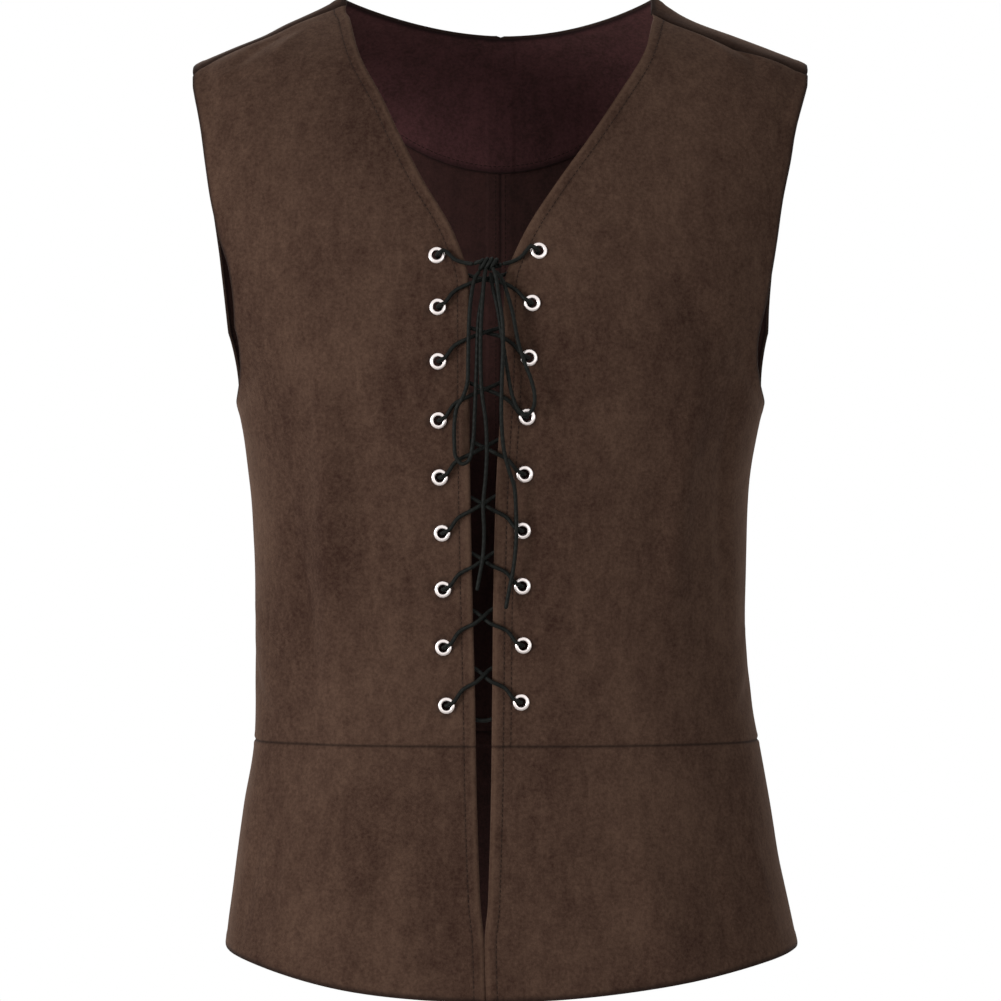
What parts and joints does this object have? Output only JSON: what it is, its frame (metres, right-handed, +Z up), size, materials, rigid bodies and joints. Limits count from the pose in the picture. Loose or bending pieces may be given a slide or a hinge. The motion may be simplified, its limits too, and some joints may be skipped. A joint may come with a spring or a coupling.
{
  "type": "steampunk vest",
  "caption": "Sleeveless V-neck costume vest of brown suede cloth with a laced front, metal eyelets, a waist seam and short skirt panels, hollow as worn.",
  "frame": {"origin": "halfway between the two neck points, on the line where the wearer's shoulders carry the vest", "axes": "+Z up, -Y towards the front, +X towards the wearer's left"},
  "size_m": [0.4155, 0.2484, 0.6686],
  "materials": {
    "suede": "matt brown faux suede with a soft nap",
    "facing": "the same suede cloth in shade, dark brown",
    "eyelet": "bright nickel plate",
    "lace": "black braided round cord"
  },
  "bodies": {
    "root": {"front_right": "suede", "front_left": "suede", "back_right": "suede", "back_left": "suede", "skirt_front_right": "suede", "skirt_front_left": "suede", "skirt_back": "suede", "back_neck_facing": "facing", "eyelet_right_1": "eyelet", "eyelet_right_2": "eyelet", "eyelet_right_3": "eyelet", "eyelet_right_4": "eyelet", "eyelet_right_5": "eyelet", "eyelet_right_6": "eyelet", "eyelet_right_7": "eyelet", "eyelet_right_8": "eyelet", "eyelet_right_9": "eyelet", "eyelet_left_1": "eyelet", "eyelet_left_2": "eyelet", "eyelet_left_3": "eyelet", "eyelet_left_4": "eyelet", "eyelet_left_5": "eyelet", "eyelet_left_6": "eyelet", "eyelet_left_7": "eyelet", "eyelet_left_8": "eyelet", "eyelet_left_9": "eyelet", "lace": "lace", "lace_knot": "lace", "bow_loop_right": "lace", "bow_loop_left": "lace", "lace_end_right": "lace", "lace_end_left": "lace"}
  },
  "joints": []
}
